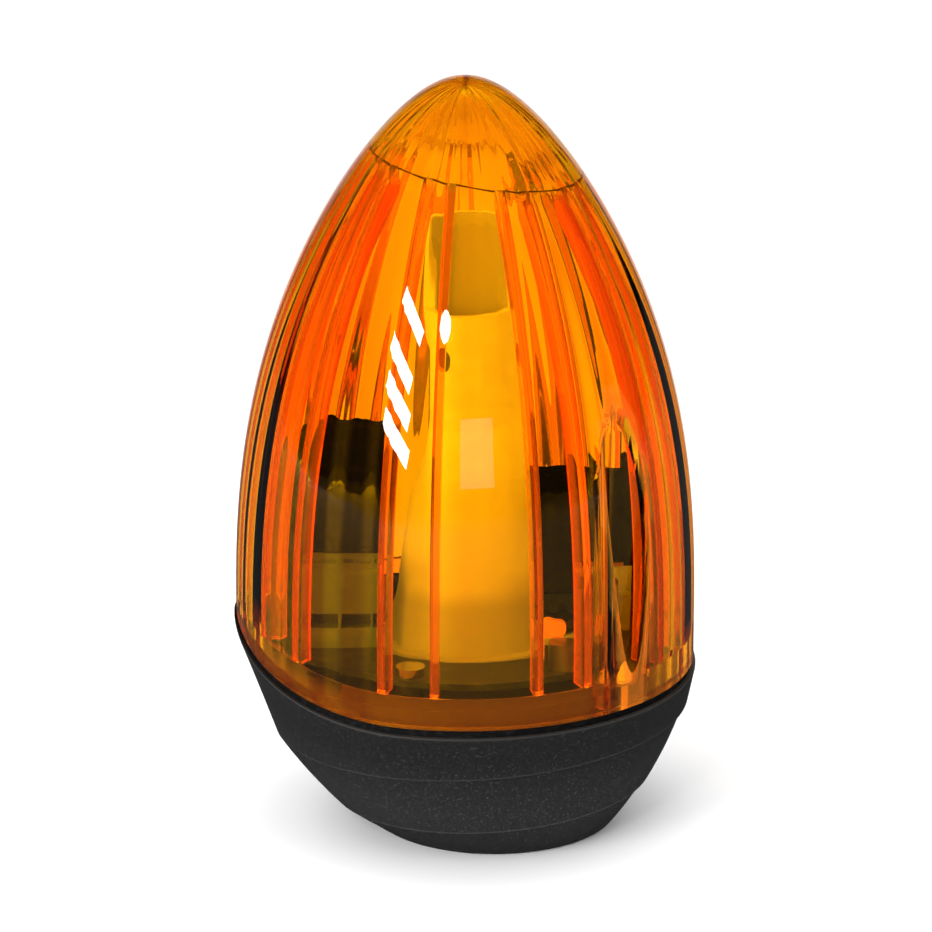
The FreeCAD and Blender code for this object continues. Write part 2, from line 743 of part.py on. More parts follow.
flange_top = "deck_level + tower_flange_thickness"
tower_shell = turned("light_tower_shell", [
    ("tower_foot_radius - tower_wall", "deck_level"), ("tower_flange_radius", "deck_level"),
    ("tower_flange_radius", flange_top), ("tower_foot_radius", flange_top),
    ("tower_neck_radius", "tower_neck_level"), ("tower_tip_radius", "tower_top"),
    ("tower_tip_radius - tower_wall", "tower_top"),
    ("tower_neck_radius - tower_wall", "tower_neck_level"),
    ("tower_foot_radius - tower_wall", flange_top)])
tower_bore = cylinder("tower_bore", "tower_hole_radius", "tower_foot_radius",
                      *at_angle("tower_foot_radius", 270 - size("tower_hole_turn")),
                      "tower_hole_level")
tower_bore.Placement.Rotation = FreeCAD.Rotation(Vector(0, 0, 1), -size("tower_hole_turn")).multiply(
    FreeCAD.Rotation(Vector(1, 0, 0), -90))
tower_notch = box("tower_notch_cut", "4 * tower_neck_radius", "2 * tower_neck_radius",
                  "tower_top - tower_notch + tower_neck_radius", "0 - 2 * tower_neck_radius",
                  "0 - 2 * tower_neck_radius", "tower_notch")
tower_ears = [
    cylinder(f"tower_ear_{number}", "tower_ear_radius", "tower_flange_thickness",
             f"{sign} * tower_screw_circle", "0", "deck_level")
    for number, sign in enumerate((-1, 1), 1)]
tower_tools = [tower_bore, tower_notch] + [
    cylinder(f"tower_tap_{number}", "tap_radius", "4 * tower_flange_thickness",
             f"{sign} * tower_screw_circle", "0", "deck_level - tower_flange_thickness")
    for number, sign in enumerate((-1, 1), 1)]
tower_whole = joined("Part::MultiFuse", "tower_whole", [tower_shell] + tower_ears)
tower = cut("light_tower", tower_whole, joined("Part::MultiFuse", "tower_tools", tower_tools))
tower_screws = joined("Part::Compound", "tower_screws", [
    tap_screw(f"tower_screw_{number}", f"{sign} * tower_screw_circle", "0",
              "deck_level + tower_flange_thickness") for number, sign in enumerate((-1, 1), 1)])


# Upright board in the tower with rows of diodes on both faces

led_board = box("led_board", "led_board_width", "led_board_thickness", "led_board_top - deck_level",
                "0 - led_board_width / 2", "0 - led_board_thickness / 2", "deck_level")
diodes = []
for row in range(int(size("led_rows"))):
    for face, y in (("front", "0 - led_board_thickness / 2 - led_height"),
                    ("rear", "led_board_thickness / 2")):
        diodes.append(box(f"led_{face}_{row + 1}", "led_size", "led_height", "led_size",
                          "0 - led_size / 2", y, f"led_first_level + {row} * led_pitch"))
leds = joined("Part::Compound", "leds", diodes)


# Control board: flat ring round the tower, open at the back, on three standoffs

board_seat = "deck_level + board_gap"
board_top = board_seat + " + board_thickness"
board_disc = cylinder("board_disc", "board_radius", "board_thickness", z=board_seat)
board_tools = [
    cylinder("board_middle", "board_hole_radius", "3 * board_thickness", "0", "0",
             board_seat + " - board_thickness"),
    box("board_rear", "2 * board_radius", "board_radius", "3 * board_thickness",
        "0 - board_radius", "board_back", board_seat + " - board_thickness")]
board_tools += [
    cylinder(f"board_tap_{number}", "tap_radius + tap_fit", "3 * board_thickness",
             *at_angle("board_screw_circle", angle), board_seat + " - board_thickness")
    for number, angle in enumerate(board_screw_angles, 1)]
control_board = cut("control_board", board_disc,
                    joined("Part::MultiFuse", "board_tools", board_tools))
board_screws = joined("Part::Compound", "board_screws", [
    joined("Part::MultiFuse", f"board_screw_{number}", [
        cylinder(f"board_screw_head_{number}", "tap_head_radius", "tap_head_height",
                 *at_angle("board_screw_circle", angle), board_top),
        cylinder(f"board_screw_shank_{number}", "tap_radius", "board_gap + board_thickness",
                 *at_angle("board_screw_circle", angle), "deck_level")])
    for number, angle in enumerate(board_screw_angles, 1)])


# Terminal block: green body with wire entries in front and screws on top

terminal_width = "terminal_pitch * terminal_poles"
terminal_body = box("terminal_body", terminal_width, "terminal_depth", "terminal_height",
                    "terminal_x", "terminal_y", board_top)
terminal_tools, terminal_heads = [], []
for pole in range(int(size("terminal_poles"))):
    middle = f"terminal_x + terminal_pitch * {pole + 0.5}"
    terminal_tools.append(box(
        f"terminal_entry_{pole + 1}", "terminal_entry", "terminal_entry_depth", "terminal_entry",
        f"{middle} - terminal_entry / 2", "terminal_y", board_top + " + terminal_height / 4"))
    axis_y = "terminal_y + terminal_depth / 2"
    terminal_tools.append(cylinder(
        f"terminal_hole_{pole + 1}", "terminal_screw_radius",
        "terminal_screw_length + terminal_screw_sink", middle, axis_y,
        board_top + " + terminal_height - terminal_screw_length - terminal_screw_sink"))
    terminal_heads.append(cylinder(
        f"terminal_screw_{pole + 1}", "terminal_screw_radius", "terminal_screw_length", middle,
        axis_y, board_top + " + terminal_height - terminal_screw_length - terminal_screw_sink"))
terminal_block = cut("terminal_block", terminal_body,
                     joined("Part::MultiFuse", "terminal_tools", terminal_tools))
terminal_screws = joined("Part::Compound", "terminal_screws", terminal_heads)


# Components that stand on the control board

capacitors = joined("Part::Compound", "capacitors", [
    cylinder("capacitor_large", "capacitor_radius", "capacitor_height",
             *at_angle("capacitor_circle", capacitor_angle), board_top),
    cylinder("capacitor_small", "small_capacitor_radius", "small_capacitor_height",
             *at_angle("small_capacitor_circle", small_capacitor_angle), board_top)])
film_capacitor = box("film_capacitor", "film_capacitor_length", "film_capacitor_width",
                     "film_capacitor_height", "film_capacitor_x", "film_capacitor_y", board_top)
discs = []
for number, angle in enumerate(disc_angles, 1):
    x, y = at_angle("disc_circle", angle)
    disc = cylinder(f"disc_pill_{number}", "disc_radius", "disc_thickness", x,
                    f"{y} + disc_thickness / 2", board_top + " + disc_leg + disc_radius")
    disc.Placement.Rotation = FreeCAD.Rotation(Vector(1, 0, 0), 90)
    legs = [cylinder(f"disc_leg_{number}_{side}", "disc_leg_radius", "disc_leg + disc_radius",
                     f"{x} + {sign} * disc_leg_spread", y, board_top)
            for side, sign in (("left", -1), ("right", 1))]
    discs.append(joined("Part::MultiFuse", f"disc_{number}", [disc] + legs))
disc_capacitors = joined("Part::Compound", "disc_capacitors", discs)
regulator = joined("Part::MultiFuse", "regulator", [
    box("regulator_body", "regulator_width", "regulator_thickness", "regulator_height",
        "regulator_x", "regulator_y", board_top),
    box("regulator_back", "regulator_width", "regulator_tab_thickness",
        "regulator_height + regulator_tab", "regulator_x",
        "regulator_y + regulator_thickness - regulator_tab_thickness", board_top)])


# Partition: black upright plate behind the tower with two screwed tabs

partition_plate = doc.addObject("PartDesign::Body", "partition_plate")
plate_outline = outline(partition_plate, "partition_outline", "XZ_Plane", [
    ("0 - partition_half_width", "deck_level"), ("partition_half_width", "deck_level"),
    ("partition_half_width", "partition_right_top"),
    ("partition_gap_right", "partition_right_top"),
    ("partition_gap_right", "deck_level + partition_bar"),
    ("0 - partition_gap_left", "deck_level + partition_bar"),
    ("0 - partition_gap_left", "partition_left_top"),
    ("0 - partition_half_width", "partition_left_top")])
plate_pad = partition_plate.newObject("PartDesign::Pad", "partition_pad")
plate_pad.Profile = plate_outline
plate_pad.Reversed = True
bind(plate_pad, "Length", "partition_thickness")
place(partition_plate, "0", "partition_y")
tab_thickness = "tower_flange_thickness"
tab_places = [f"{sign} * partition_tab_x" for sign in (-1, 1)]
tabs = [box(f"partition_tab_{number}", "partition_tab_width",
            "partition_tab_depth + partition_thickness", tab_thickness,
            f"{x} - partition_tab_width / 2", "partition_y", "deck_level")
        for number, x in enumerate(tab_places, 1)]
tab_middle = "partition_y + partition_thickness + partition_tab_depth / 2"
tab_holes = [cylinder(f"partition_hole_{number}", "tap_radius", f"3 * {tab_thickness}", x,
                      tab_middle, f"deck_level - {tab_thickness}")
             for number, x in enumerate(tab_places, 1)]
partition = cut("partition",
                joined("Part::MultiFuse", "partition_whole", [partition_plate] + tabs),
                joined("Part::MultiFuse", "partition_holes", tab_holes))
partition_screws = joined("Part::Compound", "partition_screws", [
    tap_screw(f"partition_screw_{number}", x, tab_middle, f"deck_level + {tab_thickness}")
    for number, x in enumerate(tab_places, 1)])


# Check every object, then write one file per piece

doc.recompute()
PIECES = [lens, *lens_screws, lens_seal, housing, screw_inserts, bowl, foot, grommet, bowl_screws,
          deck_screws, tower, tower_screws, led_board, leds, control_board, board_screws,
          terminal_block, terminal_screws, capacitors, film_capacitor, disc_capacitors, regulator,
          partition, partition_screws]
for item in doc.Objects:
    if "Invalid" in item.State or "Error" in item.State:
        raise RuntimeError(f"{item.Name} failed: {item.State}")
os.makedirs("parts", exist_ok=True)
for piece in PIECES:
    piece.Label = piece.Name
    if piece.Shape.isNull() or not piece.Shape.isValid():
        raise RuntimeError(f"{piece.Label} has no valid shape")
    piece.Shape.exportStep(f"parts/{piece.Label}.step")
    print(piece.Label, "solids", len(piece.Shape.Solids), "volume", round(piece.Shape.Volume, 1))
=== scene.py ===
import math

import bpy
import numpy as np
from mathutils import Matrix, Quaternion, Vector


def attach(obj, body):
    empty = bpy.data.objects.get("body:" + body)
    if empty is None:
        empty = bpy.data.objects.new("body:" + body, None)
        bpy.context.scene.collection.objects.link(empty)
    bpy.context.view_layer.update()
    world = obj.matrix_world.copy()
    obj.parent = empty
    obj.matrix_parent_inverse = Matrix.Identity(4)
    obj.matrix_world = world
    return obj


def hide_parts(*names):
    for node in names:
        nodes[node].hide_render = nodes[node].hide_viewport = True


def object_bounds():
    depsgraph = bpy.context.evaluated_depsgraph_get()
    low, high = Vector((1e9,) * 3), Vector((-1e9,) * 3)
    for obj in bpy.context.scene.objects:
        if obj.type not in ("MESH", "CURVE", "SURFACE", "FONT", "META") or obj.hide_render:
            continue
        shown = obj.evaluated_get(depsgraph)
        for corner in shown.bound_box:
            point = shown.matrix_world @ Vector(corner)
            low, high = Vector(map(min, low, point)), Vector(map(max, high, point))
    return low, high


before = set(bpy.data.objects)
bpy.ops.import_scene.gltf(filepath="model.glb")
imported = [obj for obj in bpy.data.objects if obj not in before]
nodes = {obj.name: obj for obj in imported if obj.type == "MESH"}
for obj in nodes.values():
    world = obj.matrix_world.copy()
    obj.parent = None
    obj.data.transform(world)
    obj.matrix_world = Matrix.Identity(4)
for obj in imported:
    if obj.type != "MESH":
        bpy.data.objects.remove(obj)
cad_low, cad_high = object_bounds()


# Studio: a long-lens camera a little above the light, a white floor under a wide soft panel, and a
# room that is bright behind and dark in front. A window with four slanted panes stands on the left,
# a round lamp and a dim soft panel near the camera, and a low panel at each side.
scene = bpy.context.scene
scene.view_settings.view_transform = "Standard"
scene.view_settings.look = "None"

CAMERA_ELEVATION = math.radians(18.0)
CAMERA_DISTANCE = 1.279
CAMERA_TARGET = Vector((0.0002, 0.0, 0.0884))
CAMERA_FIELD = math.radians(10.0)
camera_data = bpy.data.cameras.new("camera")
camera_data.sensor_fit = "HORIZONTAL"
camera_data.angle = CAMERA_FIELD
camera = bpy.data.objects.new("camera", camera_data)
scene.collection.objects.link(camera)
to_camera = Vector((0.0, -math.cos(CAMERA_ELEVATION), math.sin(CAMERA_ELEVATION)))
camera.location = CAMERA_TARGET + to_camera * CAMERA_DISTANCE
camera.rotation_euler = to_camera.to_track_quat("Z", "Y").to_euler()
scene.camera = camera

LAMP_TARGET = Vector((0.0, 0.0, 0.12))


def add_lamp(name, azimuth, elevation, distance, size, power, roll=0.0, shape="RECTANGLE",
             mirrored=True, through_lens=True):
    """An area lamp that faces the light from an azimuth and elevation, rolled about its beam. Its own
    shape may be left out of mirror images, or out of what is seen through the lens."""
    data = bpy.data.lights.new(name, "AREA")
    data.shape = shape
    data.size, data.size_y = size
    data.energy = power
    lamp = bpy.data.objects.new(name, data)
    scene.collection.objects.link(lamp)
    turn, rise = math.radians(azimuth), math.radians(elevation)
    direction = Vector((math.sin(turn) * math.cos(rise), -math.cos(turn) * math.cos(rise),
                        math.sin(rise)))
    lamp.location = LAMP_TARGET + direction * distance
    facing = direction.to_track_quat("Z", "Y") @ Quaternion((0.0, 0.0, 1.0), math.radians(roll))
    lamp.rotation_euler = facing.to_euler()
    lamp.visible_glossy = mirrored
    lamp.visible_transmission = through_lens


PANE_DIRECTIONS = ((-36, 28.0), (-39, 19.4), (-38, 13.2), (-37, 7.2))
for number, (azimuth, elevation) in enumerate(PANE_DIRECTIONS, 1):
    add_lamp(f"window_pane_{number}", azimuth, elevation, distance=1.2, size=(0.34, 0.07), power=2.6,
             roll=-21.0, through_lens=False)
add_lamp("round_lamp", -13, 28.2, distance=1.4, size=(0.15, 0.15), power=2.6, shape="DISK",
         through_lens=False)
add_lamp("soft_panel", 6, 6.8, distance=1.5, size=(0.45, 0.3), power=0.5)
add_lamp("overhead_panel", 180, 87, distance=1.7, size=(3.6, 3.6), power=62.0, mirrored=False)
for side, azimuth in (("left", -80), ("right", 80)):
    add_lamp(f"side_panel_{side}", azimuth, 1, distance=1.3, size=(1.0, 0.3), power=12.0,
             mirrored=False, through_lens=False)


def feed(tree, node, inputs):
    """Give inputs of a node their plain values, or link them to outputs of other nodes."""
    for socket, value in inputs.items():
        if isinstance(value, bpy.types.NodeSocket):
            tree.links.new(value, node.inputs[socket])
        else:
            node.inputs[socket].default_value = value


def add_node(tree, kind, inputs=None, **settings):
    """A shader node of a kind, with its settings and its inputs."""
    node = tree.nodes.new("ShaderNode" + kind)
    for setting, value in settings.items():
        setattr(node, setting, value)
    feed(tree, node, inputs or {})
    return node


def axes(tree, space="Object"):
    """The X, Y and Z outputs of a point's coordinates."""
    place = add_node(tree, "TexCoord").outputs[space]
    return add_node(tree, "SeparateXYZ", {"Vector": place}).outputs


def ranged(tree, value, start, end, low=0.0, high=1.0, soft=True):
    """A value that goes from low to high while another goes from start to end, by a smooth step or
    evenly, and stays there beyond."""
    limits = {"Value": value, "From Min": start, "From Max": end, "To Min": low, "To Max": high}
    kind = "SMOOTHSTEP" if soft else "LINEAR"
    return add_node(tree, "MapRange", limits, interpolation_type=kind).outputs["Result"]


def blend_shaders(tree, share, first, second):
    """A shader that goes from a first one to a second one by a share from 0 to 1."""
    return add_node(tree, "MixShader", {"Fac": share, 1: first.outputs[0], 2: second.outputs[0]})


world = bpy.data.worlds.new("surround")
scene.world = world
world.use_nodes = True
sky = world.node_tree
backward = axes(sky, "Generated")["Y"]
sight = add_node(sky, "LightPath").outputs
seen_glow = add_node(sky, "Mix", {"Factor": sight["Is Transmission Ray"],
                                  "A": ranged(sky, backward, 0.85, 1.0, 0.015, 0.8),
                                  "B": ranged(sky, backward, -0.5, 0.0, 0.08, 0.75)})
brightness = add_node(sky, "Mix", {"Factor": sight["Is Diffuse Ray"],
                                   "A": seen_glow.outputs["Result"], "B": 0.45})
surround = sky.nodes["Background"]
feed(sky, surround, {"Color": (1.0, 0.995, 0.99, 1.0), "Strength": brightness.outputs["Result"]})
backdrop = add_node(sky, "Background", {"Color": (1.0, 1.0, 1.0, 1.0)})
either_sky = blend_shaders(sky, sight["Is Camera Ray"], surround, backdrop)
feed(sky, sky.nodes["World Output"], {"Surface": either_sky.outputs["Shader"]})


def new_material(name):
    """A material; returns it with its node tree and its Principled shader."""
    material = bpy.data.materials.new(name)
    material.use_nodes = True
    return material, material.node_tree, material.node_tree.nodes["Principled BSDF"]


def maths(tree, operation, *values):
    """A maths step whose inputs are outputs of other nodes or plain numbers."""
    return add_node(tree, "Math", dict(enumerate(values)), operation=operation).outputs["Value"]


def blend(tree, share, first, second, mode="MIX"):
    """A colour that goes from a first to a second one by a share; each is three numbers or an output."""
    colours = [value if isinstance(value, bpy.types.NodeSocket) else (*value, 1.0)
               for value in (first, second)]
    return add_node(tree, "Mix", {"Factor": share, 6: colours[0], 7: colours[1]},
                    data_type="RGBA", blend_type=mode).outputs[2]


def mesh_piece(name, points, faces, material):
    """A smooth object at the origin from arrays of points and faces, with one material."""
    mesh = bpy.data.meshes.new(name)
    mesh.from_pydata(points, [], faces)
    mesh.shade_smooth()
    mesh.materials.append(material)
    mesh.update()
    piece = bpy.data.objects.new(name, mesh)
    scene.collection.objects.link(piece)
    return piece


# In mirror images the floor is dark except straight behind the light, and seen through the lens it is
# darker in front of the light.
FLOOR_HALF, FLOOR_DROP = 2.0, 0.0002
pale_floor, floor_tree, shader = new_material("pale_floor")
floor_patches = add_node(floor_tree, "TexNoise", {"Scale": 3.0}).outputs["Fac"]
feed(floor_tree, shader, {
    "Base Color": blend(floor_tree, floor_patches, (0.90, 0.90, 0.90), (0.93, 0.93, 0.93)),
    "Roughness": 0.7, "Specular IOR Level": 0.0})
floor_place = add_node(floor_tree, "TexCoord").outputs["Object"]
floor_way = add_node(floor_tree, "VectorMath", {0: floor_place}, operation="NORMALIZE")
floor_back = add_node(floor_tree, "SeparateXYZ", {"Vector": floor_way.outputs["Vector"]}).outputs["Y"]
ray = add_node(floor_tree, "LightPath").outputs
not_behind = ranged(floor_tree, floor_back, 0.9, 0.995, 1.0, 0.0)
in_front = ranged(floor_tree, floor_back, -0.5, -0.2, 1.0, 0.0)
mirror_share = maths(floor_tree, "MULTIPLY", ray["Is Reflection Ray"], not_behind)
dark_share = maths(floor_tree, "MAXIMUM", mirror_share, in_front)
mirrored_share = maths(floor_tree, "MULTIPLY", ray["Is Glossy Ray"], dark_share)
mirror_tone = blend(floor_tree, ray["Is Reflection Ray"], (0.3, 0.3, 0.3), (0.05, 0.05, 0.05))
in_mirror = add_node(floor_tree, "BsdfDiffuse", {"Color": mirror_tone})
either_floor = blend_shaders(floor_tree, mirrored_share, shader, in_mirror)
feed(floor_tree, floor_tree.nodes["Material Output"], {"Surface": either_floor.outputs["Shader"]})
floor_z = cad_low.z - FLOOR_DROP
floor_corners = [(x * FLOOR_HALF, y * FLOOR_HALF, floor_z)
                 for x, y in ((-1, -1), (1, -1), (1, 1), (-1, 1))]
floor = mesh_piece("floor", floor_corners, [(0, 1, 2, 3)], pale_floor)


# Foot, bowl and housing: three shells of the base, moulded in charcoal black plastic with a fine
# light speckle in it and a satin spark-eroded surface. They are screwed together from inside.
def grain_group():
    """Node group of a moulded surface: a speckle mask, a worn roughness and a bumped normal."""
    group = bpy.data.node_groups.new("moulded_grain", "ShaderNodeTree")
    for name in ("Speck Scale", "Speck Share", "Rough Low", "Rough High", "Grain Height"):
        group.interface.new_socket(name=name, in_out="INPUT", socket_type="NodeSocketFloat")
    for name, kind in (("Speck", "Float"), ("Roughness", "Float"), ("Normal", "Vector")):
        group.interface.new_socket(name=name, in_out="OUTPUT", socket_type="NodeSocket" + kind)
    entry = group.nodes.new("NodeGroupInput").outputs
    place = add_node(group, "TexCoord").outputs["Object"]
    speck = add_node(group, "TexNoise", {"Vector": place, "Scale": entry["Speck Scale"],
                                         "Detail": 3.0}).outputs["Fac"]
    patch = add_node(group, "TexNoise", {"Vector": place, "Scale": 35.0, "Detail": 4.0}).outputs["Fac"]
    bump = add_node(group, "Bump", {"Height": speck, "Strength": entry["Grain Height"],
                                    "Distance": 0.0001})
    feed(group, group.nodes.new("NodeGroupOutput"), {
        "Speck": ranged(group, speck, entry["Speck Share"], 0.75),
        "Roughness": ranged(group, patch, 0.0, 1.0, entry["Rough Low"], entry["Rough High"], soft=False),
        "Normal": bump.outputs["Normal"]})
    return group


moulded_grain = grain_group()


def moulded(name, dark, light, scale, share, rough, height, specular=0.5):
    """A moulded plastic or rubber: two colours by the speckle, with its roughness and grain."""
    material, tree, shader = new_material(name)
    grain = add_node(tree, "Group", {"Speck Scale": scale, "Speck Share": share, "Rough Low": rough[0],
                                     "Rough High": rough[1], "Grain Height": height},
                     node_tree=moulded_grain).outputs
    feed(tree, shader, {"Base Color": blend(tree, grain["Speck"], dark, light),
                        "Roughness": grain["Roughness"], "Normal": grain["Normal"],
                        "Specular IOR Level": specular})
    return material


def finish_nodes(names, material):
    """Give one material to carried-over pieces."""
    for name in names:
        held = nodes[name].data.materials
        held.clear()
        held.append(material)


def repaint(material, share, colour, mode="MIX"):
    """Lay another colour over a material's own one by a share from 0 to 1."""
    tree = material.node_tree
    painted = tree.nodes["Principled BSDF"].inputs["Base Color"]
    tree.links.new(blend(tree, share, painted.links[0].from_socket, colour, mode), painted)


def painted_joint_highlight(material, level, slope, half_width, colour):
    """Paint a highlight: lighten a material in a thin band along a sloping joint z = level + slope x."""
    tree = material.node_tree
    place = axes(tree)
    height = maths(tree, "MULTIPLY_ADD", place["X"], -slope, place["Z"])
    apart = maths(tree, "ABSOLUTE", maths(tree, "SUBTRACT", height, level))
    repaint(material, ranged(tree, apart, 0.4 * half_width, half_width, 1.0, 0.0, soft=False), colour)


RIM_LEVEL, SWEEP_RISE, SWEEP_START, SWEEP_END = 0.0395, 0.0155, 0.015, 0.0564


def painted_lip_highlight(material, low, high, colour):
    """Paint a band along the lip, between two heights from its edge; it is used as a painted highlight.
    The edge lies at the rim's level + rise (1 - sqrt(1 - a^2)), with a going from 0 to 1 between the
    sweep's start and end at -X."""
    tree = material.node_tree
    place = axes(tree)
    along = ranged(tree, place["X"], -SWEEP_START, -SWEEP_END, soft=False)
    fallen = maths(tree, "SQRT", maths(tree, "SUBTRACT", 1.0, maths(tree, "MULTIPLY", along, along)))
    edge = maths(tree, "MULTIPLY_ADD", fallen, -SWEEP_RISE, RIM_LEVEL + SWEEP_RISE)
    height = maths(tree, "SUBTRACT", place["Z"], edge)
    above, below = maths(tree, "GREATER_THAN", height, low), maths(tree, "LESS_THAN", height, high)
    repaint(material, maths(tree, "MULTIPLY", above, below), colour)


def painted_shade_along(material, value, start, end, colour, mode="MIX"):
    """Paint light or shade: blend a material's colour from its own to another as a value goes from start
    to end.
    """
    repaint(material, ranged(material.node_tree, value, start, end), colour, mode)


black_shell = moulded("black_shell", (0.020, 0.020, 0.021), (0.066, 0.066, 0.068),
                      1700.0, 0.54, (0.40, 0.52), 0.2, specular=0.4)
# Painted highlights: a thin lighter band along each of the two joints between the shells.
for level, slope in ((0.0270, 0.066), (0.0090, 0.067)):
    painted_joint_highlight(black_shell, level, slope, 0.0004, (0.046, 0.046, 0.048))
# Painted highlight: a thin lighter line along the lip's top edge.
painted_lip_highlight(black_shell, -0.0004, 0.0001, (0.05, 0.049, 0.048))
# Painted light and shade: the shells darken from 8 mm up to 36 mm, where their colour is multiplied by
# 0.46, so the lower parts look lit by light bounced from the floor.
painted_shade_along(black_shell, axes(black_shell.node_tree)["Z"], 0.008, 0.036, (0.46, 0.46, 0.46), "MULTIPLY")
finish_nodes(["foot", "bowl", "housing"], black_shell)


# Cable grommet and lens seal: soft black rubber, matt and slightly dusty. The grommet is snapped into
# the foot, and the seal lies on the housing, with its edge squeezed out as a bead under the lens.
black_rubber = moulded("black_rubber", (0.002, 0.002, 0.002), (0.008, 0.008, 0.008),
                       700.0, 0.5, (0.65, 0.8), 0.3, specular=0.15)
finish_nodes(["cable_grommet", "lens_seal"], black_rubber)

BEAD_INNER, BEAD_OUTER, BEAD_ROUND = 0.0531, 0.0546, 0.0003
BEAD_RISE, BEAD_HALF = 0.00154, 0.00032


def parting_level(x):
    """Level of the parting line: flat, then a quarter of an ellipse upwards at -X."""
    along = np.clip((-SWEEP_START - x) / (SWEEP_END - SWEEP_START), 0.0, 1.0)
    return RIM_LEVEL + SWEEP_RISE * (1.0 - np.sqrt(1.0 - along * along))


def grid_faces(index, turned=False):
    """Faces between the rows of a grid of point numbers whose columns close on themselves; turned
    faces look the other way."""
    after = np.roll(index, -1, axis=1)
    corners = [index[:-1], index[1:], after[1:], after[:-1]]
    if turned:
        corners = [corners[0], corners[3], corners[2], corners[1]]
    return np.stack(corners, axis=-1).reshape(-1, 4).tolist()


def seal_bead():
    """A ring whose section reaches from the inner radius to an outer edge rounded as a half ellipse,
    (r, h) = (outer + round cos t, rise + half sin t), h above the parting line."""
    turn = np.linspace(-0.5 * math.pi, 0.5 * math.pi, 7)
    r = np.concatenate([[BEAD_INNER], BEAD_OUTER + BEAD_ROUND * np.cos(turn), [BEAD_INNER]])
    h = BEAD_RISE + BEAD_HALF * np.concatenate([[-1.0], np.sin(turn), [1.0]])
    angle = np.linspace(0.0, 2.0 * math.pi, 241)[:-1, None]
    x, y = r * np.cos(angle), r * np.sin(angle)
    points = np.stack([x, y, parting_level(x) + h], axis=-1)
    index = np.arange(x.size).reshape(x.shape)
    return points.reshape(-1, 3), grid_faces(np.concatenate([index, index[:1]]))


bead = mesh_piece("lens_seal_bead", *seal_bead(), black_rubber)
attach(bead, "base")


# Screws and inserts: zinc-plated steel screws with turned faces hold the base, the tower, the board and
# the partition, and clamp the wires in the terminal block. The two lens screws have a brighter plating
# and turn in brass inserts in the base.
def turned_metal(name, colour, stain, scale, rough, metallic=1.0):
    """A metal with fine streaks in its colour and roughness."""
    material, tree, shader = new_material(name)
    place = add_node(tree, "TexCoord").outputs["Object"]
    streak = add_node(tree, "TexNoise", {"Vector": place, "Scale": scale, "Detail": 5.0}).outputs["Fac"]
    feed(tree, shader, {"Base Color": blend(tree, streak, colour, stain),
                        "Roughness": ranged(tree, streak, 0.0, 1.0, *rough, soft=False),
                        "Metallic": metallic})
    return material


screw_steel = turned_metal("screw_steel", (0.78, 0.78, 0.77), (0.55, 0.55, 0.56), 600.0, (0.12, 0.3))
plated_steel = turned_metal("plated_steel", (0.88, 0.88, 0.87), (0.7, 0.7, 0.7), 600.0, (0.12, 0.3), 0.4)
brass = turned_metal("brass", (0.72, 0.5, 0.2), (0.5, 0.33, 0.12), 500.0, (0.2, 0.4))
finish_nodes(["bowl_screws", "deck_screws", "tower_screws", "board_screws", "partition_screws",
              "terminal_screws"], screw_steel)
finish_nodes(["lens_screw_front", "lens_screw_rear"], plated_steel)
finish_nodes(["screw_inserts"], brass)


# Light tower with its board and diodes: a frosted white diffuser over an upright white board that
# carries rows of surface-mounted diodes; two screws hold the diffuser's ears to the deck.
frosted_tower = moulded("frosted_tower", (0.70, 0.68, 0.62), (0.77, 0.75, 0.69),
                        220.0, 0.4, (0.35, 0.5), 0.1)
tower_tree = frosted_tower.node_tree
# Painted light: a faint warm glow over the diffuser, though its diodes are not lit.
feed(tower_tree, tower_tree.nodes["Principled BSDF"],
     {"Emission Color": (1.0, 0.86, 0.55, 1.0), "Emission Strength": 0.12})
tower_place = axes(tower_tree)
depth_squared = maths(tower_tree, "MULTIPLY", tower_place["Y"], tower_place["Y"])
axis_distance = maths(tower_tree, "SQRT", maths(tower_tree, "MULTIPLY_ADD", tower_place["X"],
                                                tower_place["X"], depth_squared))
# Painted shade: the diffuser darkens from 105 mm down to 60 mm, and is darker inside its tube. Its foot
# below 57 mm is darker still.
painted_shade_along(frosted_tower, tower_place["Z"], 0.105, 0.06, (0.50, 0.47, 0.41))
painted_shade_along(frosted_tower, tower_place["Z"], 0.063, 0.057, (0.30, 0.28, 0.24))
painted_shade_along(frosted_tower, axis_distance, 0.0084, 0.0078, (0.34, 0.30, 0.22))
finish_nodes(["light_tower"], frosted_tower)
finish_nodes(["led_board"], moulded("white_board", (0.82, 0.83, 0.80), (0.9, 0.9, 0.88),
                                    500.0, 0.5, (0.3, 0.45), 0.1))
finish_nodes(["leds"], moulded("led_body", (0.85, 0.72, 0.25), (0.95, 0.85, 0.4),
                               900.0, 0.5, (0.2, 0.35), 0.1))


# Control board and what it carries: a dark laminate ring with a green terminal block, cans, a film
# capacitor, two orange discs and a regulator, soldered in place.
finish_nodes(["control_board"], moulded("dark_board", (0.012, 0.02, 0.012), (0.04, 0.055, 0.03),
                                        260.0, 0.5, (0.35, 0.5), 0.2))
finish_nodes(["terminal_block"], moulded("green_block", (0.075, 0.115, 0.03), (0.11, 0.15, 0.045),
                                         300.0, 0.45, (0.3, 0.45), 0.1))
finish_nodes(["capacitors"], turned_metal("capacitor_can", (0.35, 0.35, 0.36), (0.2, 0.2, 0.22),
                                          400.0, (0.25, 0.4)))
finish_nodes(["film_capacitor"], moulded("brown_case", (0.22, 0.08, 0.03), (0.3, 0.12, 0.05),
                                         400.0, 0.5, (0.3, 0.4), 0.1))
finish_nodes(["disc_capacitors"], moulded("orange_disc", (0.75, 0.28, 0.04), (0.85, 0.38, 0.08),
                                          500.0, 0.5, (0.25, 0.4), 0.1))
finish_nodes(["regulator"], moulded("grey_case", (0.25, 0.25, 0.26), (0.35, 0.35, 0.36),
                                    500.0, 0.5, (0.3, 0.45), 0.1))


